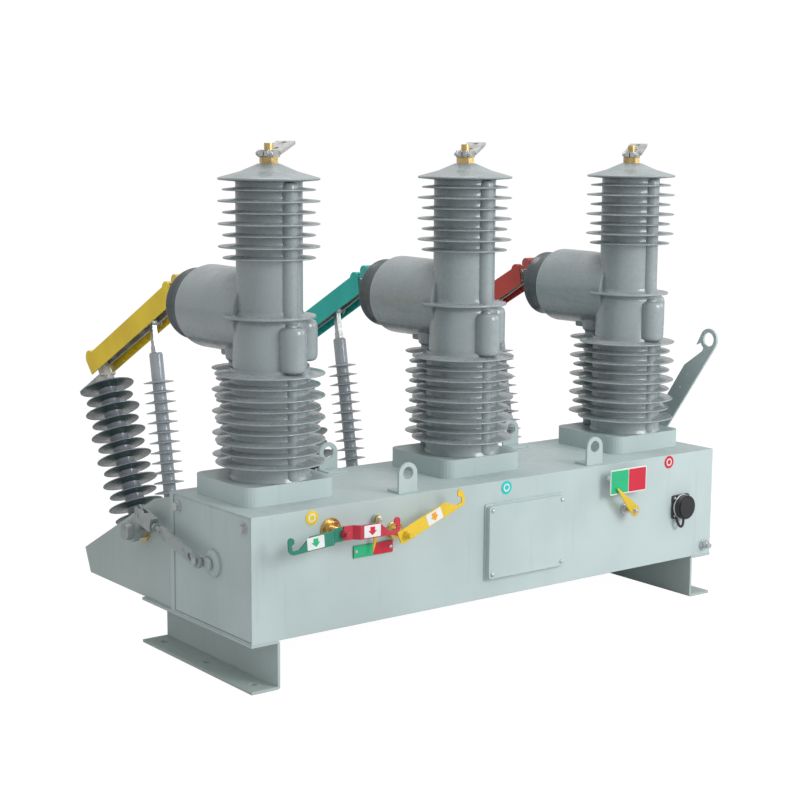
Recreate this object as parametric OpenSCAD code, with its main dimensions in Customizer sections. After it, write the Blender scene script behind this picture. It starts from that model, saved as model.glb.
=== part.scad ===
// Three-pole outdoor vacuum recloser with a built-in isolating switch.
// Millimetres. +X along the housing, -Y is the operating side, +Z up.
// The origin is the middle of the foot bolt pattern, on the ground plane.

/* [Housing] */
// length of the mechanism housing
box_l = 1350; // [1250:10:1500]
// depth of the mechanism housing
box_d = 330; // [300:5:380]
// height of the mechanism housing
box_h = 265; // [240:5:310]
// height of the feet
foot_h = 104; // [80:2:130]
// length of each foot, front to back
foot_len = 460; // [420:5:560]
// width of a foot's flange
foot_w = 63; // [50:1:80]
// thickness of the foot channel
foot_t = 6; // [4:0.5:10]
// foot hole spacing along the housing
bolt_x = 1290; // [1190:10:1440]
// foot hole spacing front to back
bolt_y = 372; // [340:4:440]
// foot hole diameter
bolt_d = 18; // [12:1:24]
// sheet thickness
sheet_t = 4; // [3:0.5:6]

/* [Poles] */
// spacing of the three poles
pole_pitch = 525; // [480:5:620]
// pole axis behind the front face
pole_in = 160; // [140:5:180]
// plinth height
plinth_h = 42.5; // [30:0.5:60]
// plinth width along the housing
plinth_w = 228; // [200:2:240]
// pitch of the sheds
shed_pitch = 23.5; // [20:0.5:28]
// radius of the large lower sheds
low_big = 117; // [105:1:130]
// radius of the small lower sheds
low_small = 107; // [98:1:120]
// radius of the large upper sheds and of the top cap
up_big = 107; // [98:1:120]
// radius of the small upper sheds
up_small = 97.5; // [88:0.5:110]
// radius of the upper column
up_core = 70; // [60:1:80]
// radius of the outlet barrel
barrel_r = 92; // [84:1:100]

/* [Isolator] */
// slope of the closed blade below level, degrees
incl = 27.2; // [20:0.2:34]
// hinge to fixed contact
blade_len = 435; // [380:5:500]
// hinge to pull rod pin, along the blade
lever_b = 140; // [110:2:170]
// width of the blade cover
cover_w = 60; // [52:1:80]
// radius of the isolator shaft
shaft_r = 19; // [14:0.5:24]
// large shed radius of the post insulator
post_big = 67; // [56:1:80]
// small shed radius of the post insulator
post_small = 58; // [48:1:70]

/* [Front panel] */
// cover panel width
panel_w = 236; // [200:2:300]
// cover panel height
panel_h = 174; // [140:2:200]
// length of one arm of the trip handle
trip_len = 132; // [110:1:150]
// length of the charging handle
charge_len = 172; // [140:2:200]
// width of the handle plates
handle_w = 30; // [24:1:36]

/* [Hidden] */
$fn = 48;

yf = -foot_len / 2;             // front face
yb = yf + box_d;                // back face
zb = foot_h;                    // underside of the housing
zt = foot_h + box_h;            // top of the housing
xe = box_l / 2;                 // end of the housing
lip = 2;                        // end plates sit this far inside the folded ends
rear_flange = 16;
XP = [-pole_pitch, 0, pole_pitch];
py = yf + pole_in;              // pole axis
zp = zt + plinth_h;             // top of the plinths
z1 = zp + 34;                   // lowest shed
z_mid = zp + 342.5;             // middle flange
z_cut = z_mid + 111;            // joint between pole body and pole top
z_cap = z_mid + 285.5;          // rim of the top cap
z_nut = z_cap + 31;             // seat of the top nut
zo = z_mid + 3;                 // axis of the outlet barrel
ye = py + 242;                  // end face of the barrel
yd = ye + 58;                   // outer face of the outlet end

hy = yd + 88;                   // blade hinge
hz = zo + 15;
sy = hy - 91;                   // isolator shaft
sz = hz - 512;
lever_n = -12;
rod_len = sqrt(91 * 91 + 512 * 512);
rod_lean = atan2(91, 512);
dn = -450;                      // post seat under the blade line
pitch_post = 30.6;
deck_t = 4;
gap_run = 0.08;                 // running clearance at every pin
bar_in = 11;                    // blade bars start this far from the middle
bar_t = 6;
pin_r = 6;
arm_r = sqrt(lever_b * lever_b + lever_n * lever_n);

xs = xe - 7;                    // outer face of the bracket sides
ln_p = [-44, 44];               // crank pin seen from the shaft
ih = [yf + 148, zb + 142];      // interlock shaft on the left end
ip = [yf + 174, zb + 145];      // its crank pin
pin0 = [sy + ln_p[0], sz + ln_p[1]];
link_len = norm(ip - pin0);
link_ang = atan2(ip[1] - pin0[1], ip[0] - pin0[0]);

xt = -481.5;                    // trip shaft
zt_trip = zb + 216;
xc = -319;                      // charging shaft
zc = zb + 192;
charge_ang = 21.4;

// Points of an arc.
function arc(x, y, r, a0, a1, n = 6) =
  [for (i = [0 : n]) [x + r * cos(a0 + (a1 - a0) * i / n), y + r * sin(a0 + (a1 - a0) * i / n)]];

// Rounded rectangle about its middle.
function rrect(w, h, r, n = 5) = concat(
  arc(w / 2 - r, h / 2 - r, r, 0, 90, n), arc(-w / 2 + r, h / 2 - r, r, 90, 180, n),
  arc(-w / 2 + r, -h / 2 + r, r, 180, 270, n), arc(w / 2 - r, -h / 2 + r, r, 270, 360, n));

// Profile points of one shed, bottom to top.
function shed(z, r, rc, up, dn, t) =
  [[rc, z - dn], [r - 1.5, z - t / 2], [r, z - t / 4], [r, z + t / 4], [r - 1.5, z + t / 2],
   [rc, z + up]];

// A profile in Y and Z drawn out along X.
module xprism(x0, x1) {
  translate([x0, 0, 0]) rotate([90, 0, 90]) linear_extrude(x1 - x0) children();
}
// A profile in X and Z drawn out towards the operator, from depth d0 to depth d1.
module fprism(d0, d1) {
  translate([0, yf - d0, 0]) rotate([90, 0, 0]) linear_extrude(d1 - d0) children();
}
// Cylinder along X.
module xcyl(x0, x1, y, z, r) {
  translate([x0, y, z]) rotate([0, 90, 0]) cylinder(h = x1 - x0, r = r);
}
// Cylinder on the front face, from depth d0 to depth d1.
module fcyl(x, z, r, d0, d1, fn = 48) {
  translate([x, yf - d0, z]) rotate([90, 0, 0]) cylinder(h = d1 - d0, r = r, $fn = fn);
}
// Cylinder along +Y.
module ycyl(x, z, r, y0, y1) {
  translate([x, y0, z]) rotate([-90, 0, 0]) cylinder(h = y1 - y0, r = r);
}
// Blade frame: X as the row, Y along the closed blade, Z square to it.
module at_blade(x) {
  translate([x, hy, hz]) rotate([-incl, 0, 0]) children();
}
// Rod frame: origin at the lower pin, Z up the rod.
module at_rod(x) {
  translate([x, sy + lever_b * cos(incl) + lever_n * sin(incl),
    sz - lever_b * sin(incl) + lever_n * cos(incl)]) rotate([-rod_lean, 0, 0]) children();
}
module each_pole() {
  for (x = XP) translate([x, py, 0]) children();
}

module housing() {
  color("#aebbb8") difference() {
    translate([-xe, yf, zb]) cube([box_l, box_d, box_h]);
    for (s = [-1, 1]) translate([s > 0 ? xe - sheet_t - lip : -xe - 1, yf + 3, zb + 3])
      cube([sheet_t + lip + 1, box_d - 3 - rear_flange, box_h - 6]);
  }
}

module end_plates() {
  color("#a9b7b4") for (s = [-1, 1])
    translate([s > 0 ? xe - sheet_t - lip : -xe + lip, yf + 4, zb + 4])
      cube([sheet_t, box_d - 5 - rear_flange, box_h - 8]);
}

module feet() {
  color("#a9b5b1") for (s = [-1, 1]) scale([s, 1, 1]) difference() {
    translate([xe + 1, 0, 0]) rotate([90, 0, 0]) translate([0, 0, yf]) linear_extrude(foot_len)
      polygon(concat([[0, 0]], [[0, foot_t]], [[-foot_w, foot_t]], [[-foot_w, foot_h - foot_t]],
        [[0, foot_h - foot_t]], [[0, foot_h]], arc(-foot_w, foot_h - foot_t, foot_t, 90, 180, 3),
        arc(-foot_w, foot_t, foot_t, 180, 270, 3)));
    for (y = [-bolt_y / 2, 0, bolt_y / 2])
      translate([bolt_x / 2, y, -1]) cylinder(h = foot_t + 2, d = bolt_d);
  }
}

module lifting_lugs() {
  color("#a5b1ae") for (x = [-pole_pitch / 2 - 7, pole_pitch / 2 + 20], k = [0, 1])
    translate([x, k == 0 ? yf + 12 : yb - 12, zt]) scale([1, k == 0 ? 1 : -1, 1]) {
      difference() {
        rotate([90, 0, 0]) translate([0, 0, -5]) linear_extrude(5)
          polygon(concat([[-25, 0], [25, 0]], arc(0, 42, 25, 0, 180, 12)));
        translate([0, -1, 44]) rotate([-90, 0, 0]) cylinder(h = 7, r = 13.5);
      }
      translate([-25, 5, 0]) cube([50, 36, 5]);
    }
}

module cover_panel() {
  color("#b2bfbc") {
    fprism(0, 3) translate([54, zb + 129]) polygon(rrect(panel_w, panel_h, 4, 3));
    fprism(3, 14) translate([54, zb + 129]) polygon(rrect(panel_w - 8, panel_h - 8, 6, 3));
  }
}

module position_plate() {
  color("#c8342c") {
    fprism(26, 28) translate([356, zb + 226]) polygon(rrect(118, 60, 3, 3));
    for (x = [315, 397]) fcyl(x, zb + 232, 5, 0, 26, 24);
  }
}

module charge_plate() {
  color("#2f9a67") fprism(0, 3) translate([-372.5, zb + 159]) polygon(rrect(103, 26, 2, 2));
}

module control_socket() {
  color("#3a3d3e") {
    fprism(0, 5) translate([562, zb + 134]) polygon(rrect(58, 58, 5, 3));
    fcyl(562, zb + 134, 25, 5, 10);
  }
}

module socket_cap() {
  color("#1d1e1f") {
    fcyl(562, zb + 134, 29.5, 10, 24);
    fcyl(562, zb + 134, 25, 24, 27);
  }
}

module ground_bolt() {
  color("#b9b4a4") {
    fcyl(650, zb + 25, 13, 0, 6);
    fcyl(650, zb + 25, 10, 6, 15, 6);
    fcyl(650, zb + 25, 6, 15, 24, 24);
  }
}

module end_bolts() {
  color("#c9c6bb") for (s = [-1, 1], y = [yf + 30, yf + 296]) scale([s, 1, 1]) {
    xcyl(xe - lip, xe, y, zb + 237, 13);
    translate([xe, y, zb + 237]) rotate([0, 90, 0]) cylinder(h = 8, r = 10, $fn = 6);
  }
}

module interlock_hub() {
  color("#9aa8a6") {
    xcyl(-xe - 4, -xe + lip, ih[0], ih[1], 29);
    translate([-xe - 4, ih[0], ih[1]]) rotate([0, -90, 0]) cylinder(h = 5, r1 = 29, r2 = 20);
    xcyl(-xe - 13, -xe - 8, ih[0], ih[1], 9);
    xprism(-xe - 17, -xe - 12) polygon(concat(arc(ih[0], ih[1], 13, 97, 263, 8),
      arc(ip[0], ip[1], 8, -83, 97, 8)));
    xcyl(-xe - 34, -xe - 16, ip[0], ip[1], 4);
    xcyl(-xe - 34, -xe - 31, ip[0], ip[1], 7.5);
  }
}

module front_bosses() {
  color("#b99a4c") for (p = [[xt, zt_trip, 25], [xc, zc, 19.5]]) {
    fcyl(p[0], p[1], p[2], 0, 3);
    fcyl(p[0], p[1], 18, 3, 14);
  }
}

module pointer_bushes() {
  color("#8f9896") {
    fcyl(-366, zb + 225, 9, 0, 8);
    fcyl(374, zb + 152, 15, 0, 4);
    fcyl(374, zb + 152, 10, 4, 12);
  }
}

// Corners of the rear bracket, seen from the side.
function deck(b, n) = [hy + b * cos(incl) + n * sin(incl), hz - b * sin(incl) + n * cos(incl)];
b_peak = 78.4;
b_end = 463;
b_back = [[yb, zb + 248], deck(b_peak, dn), deck(b_end, dn), [hy + 180, zb]];

module bracket_sides() {
  color("#a3b1ae") for (s = [-1, 1]) scale([s, 1, 1]) difference() {
    xprism(xs - sheet_t, xs) polygon(concat(b_back, [[yb, zb]]));
    xcyl(xs - sheet_t - 1, xs + 1, sy, sz, shaft_r + 3);
  }
}

module rear_deck() {
  p = b_back;
  color("#a6b3b0") difference() {
    xprism(-xs + sheet_t, xs - sheet_t) polygon(concat(p,
      [[p[3][0] - 4.4, zb], deck(b_end - 4, dn - deck_t), deck(b_peak + 1, dn - deck_t),
       [yb + deck_t, p[0][1] - deck_t - 0.8], [yb + deck_t, zb + 190], [yb, zb + 190]]));
    for (x = XP) at_blade(x) translate([-30, 158, dn - deck_t - 2]) cube([60, 150, deck_t + 6]);
  }
}

module shaft_bushes() {
  color("#b08f45") for (s = [-1, 1]) scale([s, 1, 1]) difference() {
    xcyl(xs, xs + 5, sy, sz, 27);
    xcyl(xs - 1, xs + 6, sy, sz, shaft_r + gap_run);
  }
}

module plinths() {
  color("#aab7b4") for (x = XP) translate([x, yf + 185, zt])
    linear_extrude(plinth_h) polygon(rrect(plinth_w, 222, 30, 6));
}

// One pole up to the joint, with its outlet barrel.
module pole_body() {
  low = 84;
  rc = 35;
  translate([0, 0, 0]) rotate_extrude() polygon(concat([[0, zp], [low + 4, zp], [low, zp + 8]],
    [for (i = [0 : 8]) each shed(z1 + i * shed_pitch, i % 2 == 0 ? low_big : low_small, low, 6, 3, 4)],
    [[low, z1 + 8 * shed_pitch + 14], [79, z_mid - 112], [77, z_mid - 14], [72, z_mid - 4],
     [98, z_mid - 2.5], [98.3, z_mid], [98, z_mid + 2.5], [up_core + 3, z_mid + 4],
     [up_core, z_mid + 12], [up_core, z_cut], [0, z_cut]]));
  // vertical tube on the operating side and two rounded bosses
  translate([2, -78, zp + 2]) cylinder(h = 330, r = 14);
  translate([6, -66, z_mid - 20]) cylinder(h = z_cut - z_mid + 20, r = 18);
  for (b = [[4, -80, z_mid - 114, 97], [84, -4, z_mid - 100, 88]])
    translate([b[0], b[1], b[2]]) rotate_extrude()
      polygon([[0, 0], [20, 0], [26, 3], [29, 9], [29, b[3] - 9], [26, b[3] - 3], [20, b[3]], [0, b[3]]]);
  // second column behind
  translate([0, 100, 0]) rotate_extrude() polygon(concat([[0, zp], [rc, zp]],
    [for (i = [0 : 8]) each shed(z1 + 1.2 + i * shed_pitch, i % 2 == 0 ? 72 : 63, rc, 6, 3, 4)],
    [[rc, z1 + 8 * shed_pitch + 16], [41, z_mid - 100], [46, zo - 50], [0, zo - 50]]));
  // outlet barrel
  translate([0, 15, zo]) rotate([-90, 0, 0]) rotate_extrude() polygon([[0, 0], [84, 0],
    [86, 40], [barrel_r - 1, 120], [barrel_r, 220], [barrel_r - 1, 225], [barrel_r - 4, 227], [0, 227]]);
  translate([-20, 70, zo - 100]) cube([40, 95, 40]);
}

module pole_bodies() {
  color("#8d9697") each_pole() pole_body();
}

module pole_tops() {
  color("#8d9697") each_pole() {
    rotate_extrude() polygon(concat([[0, z_cut], [up_core, z_cut]],
      [for (i = [0 : 6]) each shed(z_cap - 163.5 + i * shed_pitch, i % 2 == 0 ? up_small : up_big,
        up_core, 5, 3, 4)],
      [[up_core, z_cap - 6], [up_big - 2, z_cap - 3], [up_big, z_cap - 1], [up_big, z_cap + 1],
       [up_big - 2, z_cap + 2.5], [60, z_cap + 15], [23, z_nut], [0, z_nut]]));
    translate([6, -66, z_cut]) cylinder(h = z_cap - z_cut - 4, r = 18);
  }
}

module outlet_ends() {
  color("#5f686c") each_pole() translate([0, 242, zo]) rotate([-90, 0, 0]) rotate_extrude()
    polygon([[0, 0], [78, 0], [78, 4], [86, 4.5], [87, 6.5], [86, 8.5], [77, 9], [77, 13],
      [74, 14], [74, 24], [76, 40], [80, 52], [81, 56], [79, 58], [60, 57], [0, 58]]);
}

module top_studs() {
  color("#c19a52") each_pole() {
    translate([0, 0, z_nut]) rotate([0, 0, 12]) cylinder(h = 13, r = 20, $fn = 6);
    translate([0, 0, z_nut + 13]) cylinder(h = 29, r = 9.5);
  }
}

module top_pads() {
  color("#c7cbc8") each_pole() translate([0, 0, z_nut + 13]) rotate([0, 0, 35]) {
    difference() {
      union() {
        translate([-17, -17, 0]) cube([38, 34, 15]);
        translate([14, -21.5, 5]) rotate([0, -15, 0]) cube([86, 43, 7]);
        translate([-30, -9, 2]) cube([14, 18, 11]);
      }
      translate([0, 0, -1]) cylinder(h = 40, r = 9.6);
      translate([-35, -1.5, -1]) cube([30, 3, 20]);
      for (d = [28, 73]) translate([14, 0, 5]) rotate([0, -15, 0]) translate([d, 0, -3])
        cylinder(h = 14, r = 6.5);
    }
  }
}

module hinge_mounts() {
  color("#8d9394") for (x = XP) {
    ycyl(x, zo, 30, yd, yd + 6);
    difference() {
      xprism(x - 10, x + 10) {
        polygon([[yd + 5, zo - 15], [yd + 5, zo + 24], deck(-62, 0), deck(-36, 0),
          deck(0, 15), deck(8, -13), [yd + 48, zo - 15]]);
        translate([hy, hz]) circle(r = 16);
      }
      xcyl(x - 12, x + 12, hy, hz, 8 + gap_run);
    }
  }
}

module hinge_covers() {
  color("#d9a528") for (x = XP) at_blade(x) {
    difference() {
      translate([-cover_w / 2, -49, 13]) rotate([0, 90, 0]) cylinder(h = cover_w, r = 14);
      translate([-cover_w / 2 - 1, -70, -20]) cube([cover_w + 2, 40, 20]);
    }
  }
}

module post_feet() {
  color("#8b9192") for (x = XP) at_blade(x) translate([0, blade_len, dn]) {
    difference() {
      translate([-56, -27, 0]) cube([112, 54, 9]);
      for (s = [-1, 1]) translate([s * 45, 0, -1]) cylinder(h = 11, r = 6.5);
    }
    translate([0, 0, 9]) cylinder(h = 20, r = 31);
  }
}

module post_insulators() {
  z0 = dn + 29;
  color("#75788a") for (x = XP) at_blade(x) translate([0, blade_len, 0]) rotate_extrude()
    polygon(concat([[0, z0], [24, z0]],
      [for (i = [0 : 11]) each shed(-402.8 + i * pitch_post, i % 2 == 0 ? post_small : post_big,
        23.5, 9, 5, 4)], [[23.5, -54], [0, -54]]));
}

module post_contacts() {
  color("#9ba0a3") for (x = XP) at_blade(x) translate([0, blade_len, 0]) {
    translate([0, 0, -54]) cylinder(h = 14, r = 23.5);
    difference() {
      translate([-20, -24, -41]) cube([40, 132, 6]);
      for (d = [48, 90]) translate([0, d, -43]) cylinder(h = 10, r = 6.5);
    }
    translate([-10, -22, -36]) cube([20, 27, 44]);
  }
}

// Two plates of one crank arm, with the pin that carries the rod.
module arm(x) {
  a = -incl - atan2(-lever_n, lever_b);
  translate([x, sy, sz]) rotate([a, 0, 0]) {
    for (s = [-1, 1]) scale([s, 1, 1]) translate([bar_in, 0, 0]) rotate([90, 0, 90])
      linear_extrude(bar_t) polygon(concat(arc(0, 0, 25, 75, 285, 12), arc(arm_r, 0, 12, -80, 80, 8)));
    translate([-bar_in - bar_t - 4, arm_r, 0]) rotate([0, 90, 0])
      cylinder(h = 2 * (bar_in + bar_t + 4), r = pin_r);
  }
}

module isolator_shaft() {
  color("#96a2a1") {
    xcyl(-xe - 45, xe + 9, sy, sz, shaft_r);
    for (x = XP) arm(x);
    // crank for the interlock link
    xcyl(-xe - 29, -xe - 16, sy, sz, 25);
    xprism(-xe - 28, -xe - 22) polygon(concat(arc(sy, sz, 22, 180, 405, 12),
      arc(pin0[0], pin0[1], 12, 45, 225, 8)));
    xcyl(-xe - 37, -xe - 13, pin0[0], pin0[1], 5);
  }
}

module pull_lever() {
  e = [yf + 235, zb + 246];
  color("#98a5a5") difference() {
    union() {
      xcyl(xe + 9, xe + 30, sy, sz, 25);
      xprism(xe + 18, xe + 24) {
        polygon([[sy - 4, sz + 24], [sy - 20, sz - 19], [e[0] - 26, e[1] - 18], [e[0] - 42, e[1] + 24],
          [yf + 21, zb + 517], [yf + 66, zb + 547], [yf + 83, zb + 516], [yf + 69, zb + 523],
          [yf + 61, zb + 518], [yf + 60, zb + 507], [yf + 64, zb + 501], [yf + 122, zb + 461],
          [e[0] + 8, e[1] + 36]]);
        translate([yf + 43.7, zb + 532.3]) circle(r = 27);
      }
    }
    xcyl(xe + 17, xe + 25, yf + 43.7, zb + 532.3, 17.5);
    for (p = [[110, 437], [134, 403]]) xcyl(xe + 17, xe + 25, yf + p[0], zb + p[1], 3);
  }
}

// Moving blade of one phase: two bars, pins and clips for the cover.
module blade(x) {
  color("#a7abad") at_blade(x) {
    for (s = [-1, 1]) scale([s, 1, 1]) translate([bar_in, 0, 0]) rotate([90, 0, 90])
      linear_extrude(bar_t) polygon(concat(arc(0, 0, 15, 90, 250, 8),
        [[lever_b - 30, -18]], arc(blade_len - 6, 0, 14, -80, 90, 8)));
    translate([-22, 0, 0]) rotate([0, 90, 0]) cylinder(h = 44, r = 8);
    translate([-22, lever_b, lever_n]) rotate([0, 90, 0]) cylinder(h = 44, r = pin_r);
    for (b = [230, 320, blade_len - 42]) translate([-22, b, 0]) rotate([0, 90, 0])
      cylinder(h = 44, r = 7);
    for (b = [190, 350]) translate([-17, b, 12]) cube([34, 20, 7]);
  }
}

// Insulating cover over the blade of one phase.
module blade_cover(x, c) {
  w = cover_w / 2;
  color(c) at_blade(x) difference() {
    translate([-w, 0, 0]) rotate([90, 0, 90]) linear_extrude(cover_w) polygon(concat(
      [[blade_len + 5, -28], [-8, -28]], arc(-4, 12, 17, 215, 36, 10),
      arc(blade_len - 2, 14, 18, 153.6, -25, 10)));
    translate([-w + 3, -40, -40]) cube([cover_w - 6, blade_len + 51, 59]);
    // open at the back, so that the fixed hinge plate can pass
    translate([-15.5, -40, 0]) cube([31, 43, 45]);
  }
}

// Insulating part of a pull rod.
module rod(x) {
  color("#8a8d92") at_rod(x) rotate_extrude() polygon(concat([[0, 92], [15, 92]],
    [for (i = [0 : 11]) each shed(118 + i * 23.6, 36, 15, 5, 3, 2.4)],
    [[15, 384], [15.7, 386], [15.7, 444], [13, 448], [0, 448]]));
}

// Steel ends of a pull rod.
module rod_ends(x) {
  color("#b4babb") at_rod(x) {
    difference() {
      union() {
        translate([0, 0, 76]) cylinder(h = 16, r = 16);
        translate([-8, -10, 0]) cube([16, 20, 77]);
        translate([-8, 0, 0]) rotate([0, 90, 0]) cylinder(h = 16, r = 12);
      }
      translate([-9, 0, 0]) rotate([0, 90, 0]) cylinder(h = 18, r = pin_r + gap_run);
    }
    difference() {
      union() {
        translate([0, 0, 448]) cylinder(h = 15, r = 11.5, $fn = 6);
        translate([-6, -7, 462]) cube([12, 14, rod_len - 462]);
        translate([-6, 0, rod_len]) rotate([0, 90, 0]) cylinder(h = 12, r = 11);
      }
      translate([-9, 0, rod_len]) rotate([0, 90, 0]) cylinder(h = 18, r = pin_r + gap_run);
    }
  }
}

module link_bar() {
  x0 = -xe - 25;
  color("#a0aead") translate([x0, pin0[0], pin0[1]]) rotate([link_ang, 0, 0]) difference() {
    union() {
      for (s = [-1, 1]) scale([s, 1, 1]) translate([6, -13, -15]) cube([4, 60, 30]);
      translate([-10, 24, -15]) cube([20, 34, 30]);
      translate([0, 57, 0]) rotate([-90, 0, 0]) cylinder(h = 34, r = 5);
      translate([0, 62, 0]) rotate([-90, 0, 0]) cylinder(h = 8, r = 9, $fn = 6);
      translate([-3, 0, 0]) rotate([90, 0, 90]) linear_extrude(6) polygon(concat(
        arc(96, 0, 14, 90, 270, 8), arc(link_len + 4, 0, 14, -90, 90, 8)));
    }
    translate([-12, 0, 0]) rotate([0, 90, 0]) cylinder(h = 24, r = 5 + gap_run);
    translate([-5, 0, 0]) rotate([90, 0, 90]) linear_extrude(10) polygon(concat(
      arc(link_len - 26, 0, 7.5, 90, 270, 10), arc(link_len, 0, 7.5, -90, 90, 10)));
  }
}

// One arm of a hooked handle plate, lying along +X from x0, with its shaft at the origin.
module hook_plate(l, x0 = 0) {
  w = handle_w / 2;
  polygon(concat([[x0, -w], [l - 14, -w]], arc(l - 14, -w + 14, 14, -90, 0, 5), [[l, w - 1]],
    arc(l - 7.5, w - 1, 7.5, 0, 180, 8), arc(l - 12.5, w - 5, 2.5, 180, 290, 4),
    [[l - 8, w - 11]], arc(l - 14.5, -1, 6, 20, -90, 5), [[l - 26, -6.5], [l - 54, w], [x0, w]]));
}

// The trip handle's arm: flat at the shaft, cranked outwards, and flat again out to its hook.
module trip_arm(l, x0 = 0) {
  w = handle_w / 2;
  fprism(46, 49) polygon([[x0, -w], [23, -w], [23, w], [x0, w]]);
  translate([0, yf, -w]) linear_extrude(2 * w)
    polygon([[22, -46], [22, -49], [34, -61], [37, -61], [37, -58], [35, -58], [23.2, -46]]);
  fprism(58, 61) hook_plate(l, 36);
}

module trip_shaft() {
  color("#b99a4c") {
    fcyl(xt, zt_trip, 9, 14, 44);
    fcyl(xt, zt_trip, 15, 40, 46);
  }
}

module trip_green() {
  color("#1f7a5c") translate([xt, 0, zt_trip]) rotate([0, -4.1, 0]) scale([-1, 1, 1])
    trip_arm(trip_len + 12, 1.4);
}

module trip_red() {
  color("#c8324a") {
    translate([xt, 0, zt_trip]) rotate([0, 0.4, 0]) trip_arm(trip_len + 4);
    fcyl(xt, zt_trip, 9.5, 49, 57, 6);
    fcyl(xt, zt_trip, 6, 57, 67);
  }
}

module charge_shaft() {
  color("#b99a4c") fcyl(xc, zc, 9, 14, 46);
}

module charge_handle() {
  color("#e2bf2c") {
    fprism(46, 49) translate([xc, zc]) rotate([0, 0, charge_ang]) {
      hook_plate(charge_len - 3);
      polygon([[1, -handle_w / 2], [1, handle_w / 2], [-20, handle_w / 2], [-20, -handle_w / 2 + 5],
        [-15, -handle_w / 2]]);
    }
    fcyl(xc, zc, 9.5, 49, 57, 6);
    fcyl(xc, zc, 6, 57, 67);
  }
}

module charge_pointer() {
  color("#e2bf2c") {
    fcyl(-366, zb + 225, 4, 8, 14, 24);
    fprism(14, 16) translate([-366, zb + 225]) rotate([0, 0, -104]) polygon(
      concat([[75, 0], [30, 6]], arc(0, 0, 9, 40, 320, 10), [[30, -6]]));
  }
}

module position_pointer() {
  color("#e7e0c8") {
    fcyl(374, zb + 152, 5, 12, 33, 24);
    fprism(33, 35) translate([374, zb + 152]) rotate([0, 0, 134.6]) polygon(
      concat([[86, 0], [84, 1.5], [22, 11]], arc(0, 0, 14, 60, 300, 12), [[22, -11], [84, -1.5]]));
  }
}

housing();
end_plates();
feet();
lifting_lugs();
cover_panel();
position_plate();
charge_plate();
control_socket();
socket_cap();
ground_bolt();
end_bolts();
interlock_hub();
front_bosses();
pointer_bushes();
bracket_sides();
rear_deck();
shaft_bushes();
plinths();
pole_bodies();
pole_tops();
outlet_ends();
top_studs();
top_pads();
hinge_mounts();
hinge_covers();
post_feet();
post_insulators();
post_contacts();
isolator_shaft();
pull_lever();
blade(XP[0]);  // blade_a
blade(XP[1]);  // blade_b
blade(XP[2]);  // blade_c
blade_cover(XP[0], "#e0aa22");  // cover_a
blade_cover(XP[1], "#1f9d8b");  // cover_b
blade_cover(XP[2], "#8c2430");  // cover_c
rod(XP[0]);  // rod_a
rod(XP[1]);  // rod_b
rod(XP[2]);  // rod_c
rod_ends(XP[0]);  // rod_ends_a
rod_ends(XP[1]);  // rod_ends_b
rod_ends(XP[2]);  // rod_ends_c
link_bar();
trip_shaft();
trip_green();
trip_red();
charge_shaft();
charge_handle();
charge_pointer();
position_pointer();
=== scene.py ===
# %% [markdown]
# # A three-pole vacuum recloser
# This recloser is a steel housing with three cast resin poles on top and an isolating switch behind them.
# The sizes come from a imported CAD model, which is loaded first and stays where it is.
# We give its parts their finishes, and replace the turned resin parts by smoother surfaces with rounded sheds.

import math

import bmesh
import bpy
import numpy as np
from mathutils import Matrix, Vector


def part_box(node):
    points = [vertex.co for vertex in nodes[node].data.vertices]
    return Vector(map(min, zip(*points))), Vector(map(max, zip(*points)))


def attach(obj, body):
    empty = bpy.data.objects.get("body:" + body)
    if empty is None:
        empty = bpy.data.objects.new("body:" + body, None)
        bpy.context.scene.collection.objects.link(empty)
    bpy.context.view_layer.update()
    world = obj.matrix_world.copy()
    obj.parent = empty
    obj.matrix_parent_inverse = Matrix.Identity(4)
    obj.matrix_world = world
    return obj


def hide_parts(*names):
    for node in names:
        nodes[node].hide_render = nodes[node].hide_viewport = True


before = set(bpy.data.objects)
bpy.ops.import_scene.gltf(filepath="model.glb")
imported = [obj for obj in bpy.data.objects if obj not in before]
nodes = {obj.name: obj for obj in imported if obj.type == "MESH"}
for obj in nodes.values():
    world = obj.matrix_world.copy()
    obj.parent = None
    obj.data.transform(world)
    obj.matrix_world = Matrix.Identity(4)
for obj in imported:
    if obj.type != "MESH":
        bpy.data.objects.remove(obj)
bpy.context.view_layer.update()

# %% [markdown]
# ## Places we need again and again
# All lengths are in metres. The poles stand in a row along X, and the operator's side is -Y.
# The boxes of a few CAD parts give the main levels, so the looks follow the construction.

# %% Main levels
MM = 0.001
POLES = [-0.525, 0.0, 0.525]
PHASES = ["a", "b", "c"]
front_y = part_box("housing")[0].y
back_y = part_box("housing")[1].y
base_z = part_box("housing")[0].z
top_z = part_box("housing")[1].z
end_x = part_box("housing")[1].x
pole_y = front_y + 160 * MM
plinth_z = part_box("plinths")[1].z
mid_z = plinth_z + 342.5 * MM
cap_z = mid_z + 285.5 * MM
nut_z = cap_z + 31 * MM
barrel_z = mid_z + 3 * MM
barrel_y = pole_y + 242 * MM
hinge = np.array([0.0, pole_y + 388 * MM, barrel_z + 15 * MM])
shaft = np.array([0.0, hinge[1] - 91 * MM, hinge[2] - 512 * MM])
SLOPE = math.radians(27.2)
print("pole axis y", pole_y, "plinth top", plinth_z, "hinge", hinge)

# %% [markdown]
# ## The camera
# The object is seen from the front left and a little above, from about four metres.
# The camera's axes are built from three angles, because a matrix is plain to check.

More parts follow.
